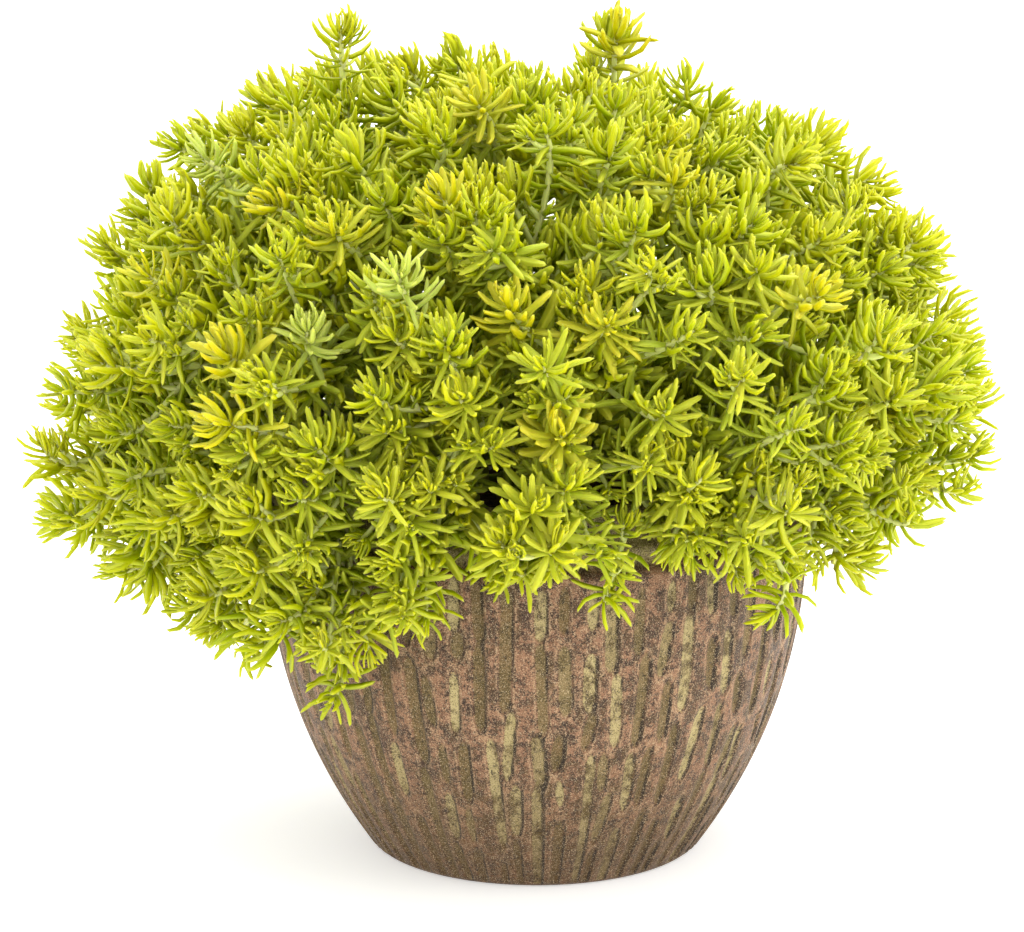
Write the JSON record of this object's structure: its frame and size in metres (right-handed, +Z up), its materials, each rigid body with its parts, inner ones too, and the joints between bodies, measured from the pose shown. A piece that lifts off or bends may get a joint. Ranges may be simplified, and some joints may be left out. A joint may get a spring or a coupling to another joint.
{
  "type": "potted sedum",
  "caption": "Golden sedum whose dense leafy stems mound over and trail from a round, carved and glazed ceramic bowl planter.",
  "frame": {"origin": "middle of the pot's flat foot, on the surface that it stands on", "axes": "+Z up along the pot's axis, -Y towards the viewer (the front), -X towards the side where the mound is widest"},
  "size_m": [0.3517, 0.3061, 0.3076],
  "materials": {
    "carved_glaze": "satin",
    "potting_mix": "matte",
    "golden_leaves": "satin"
  },
  "bodies": {
    "root": {"pot": "carved_glaze", "potting_mix": "potting_mix", "stem_01": "golden_leaves", "stem_02": "golden_leaves", "stem_03": "golden_leaves", "stem_04": "golden_leaves", "stem_05": "golden_leaves", "stem_06": "golden_leaves", "stem_07": "golden_leaves", "stem_08": "golden_leaves", "stem_09": "golden_leaves", "stem_10": "golden_leaves", "stem_11": "golden_leaves", "stem_12": "golden_leaves", "stem_13": "golden_leaves", "stem_14": "golden_leaves", "stem_15": "golden_leaves", "stem_16": "golden_leaves", "stem_17": "golden_leaves", "stem_18": "golden_leaves", "stem_19": "golden_leaves", "stem_20": "golden_leaves", "stem_21": "golden_leaves", "stem_22": "golden_leaves", "stem_23": "golden_leaves", "stem_24": "golden_leaves", "stem_25": "golden_leaves", "stem_26": "golden_leaves", "stem_27": "golden_leaves", "stem_28": "golden_leaves", "stem_29": "golden_leaves", "stem_30": "golden_leaves", "stem_31": "golden_leaves", "stem_32": "golden_leaves", "stem_33": "golden_leaves", "stem_34": "golden_leaves", "stem_35": "golden_leaves", "stem_36": "golden_leaves", "stem_37": "golden_leaves", "stem_38": "golden_leaves", "stem_39": "golden_leaves", "stem_40": "golden_leaves", "stem_41": "golden_leaves", "stem_42": "golden_leaves", "stem_43": "golden_leaves", "stem_44": "golden_leaves", "stem_45": "golden_leaves", "stem_46": "golden_leaves", "stem_47": "golden_leaves", "stem_48": "golden_leaves"}
  },
  "joints": []
}
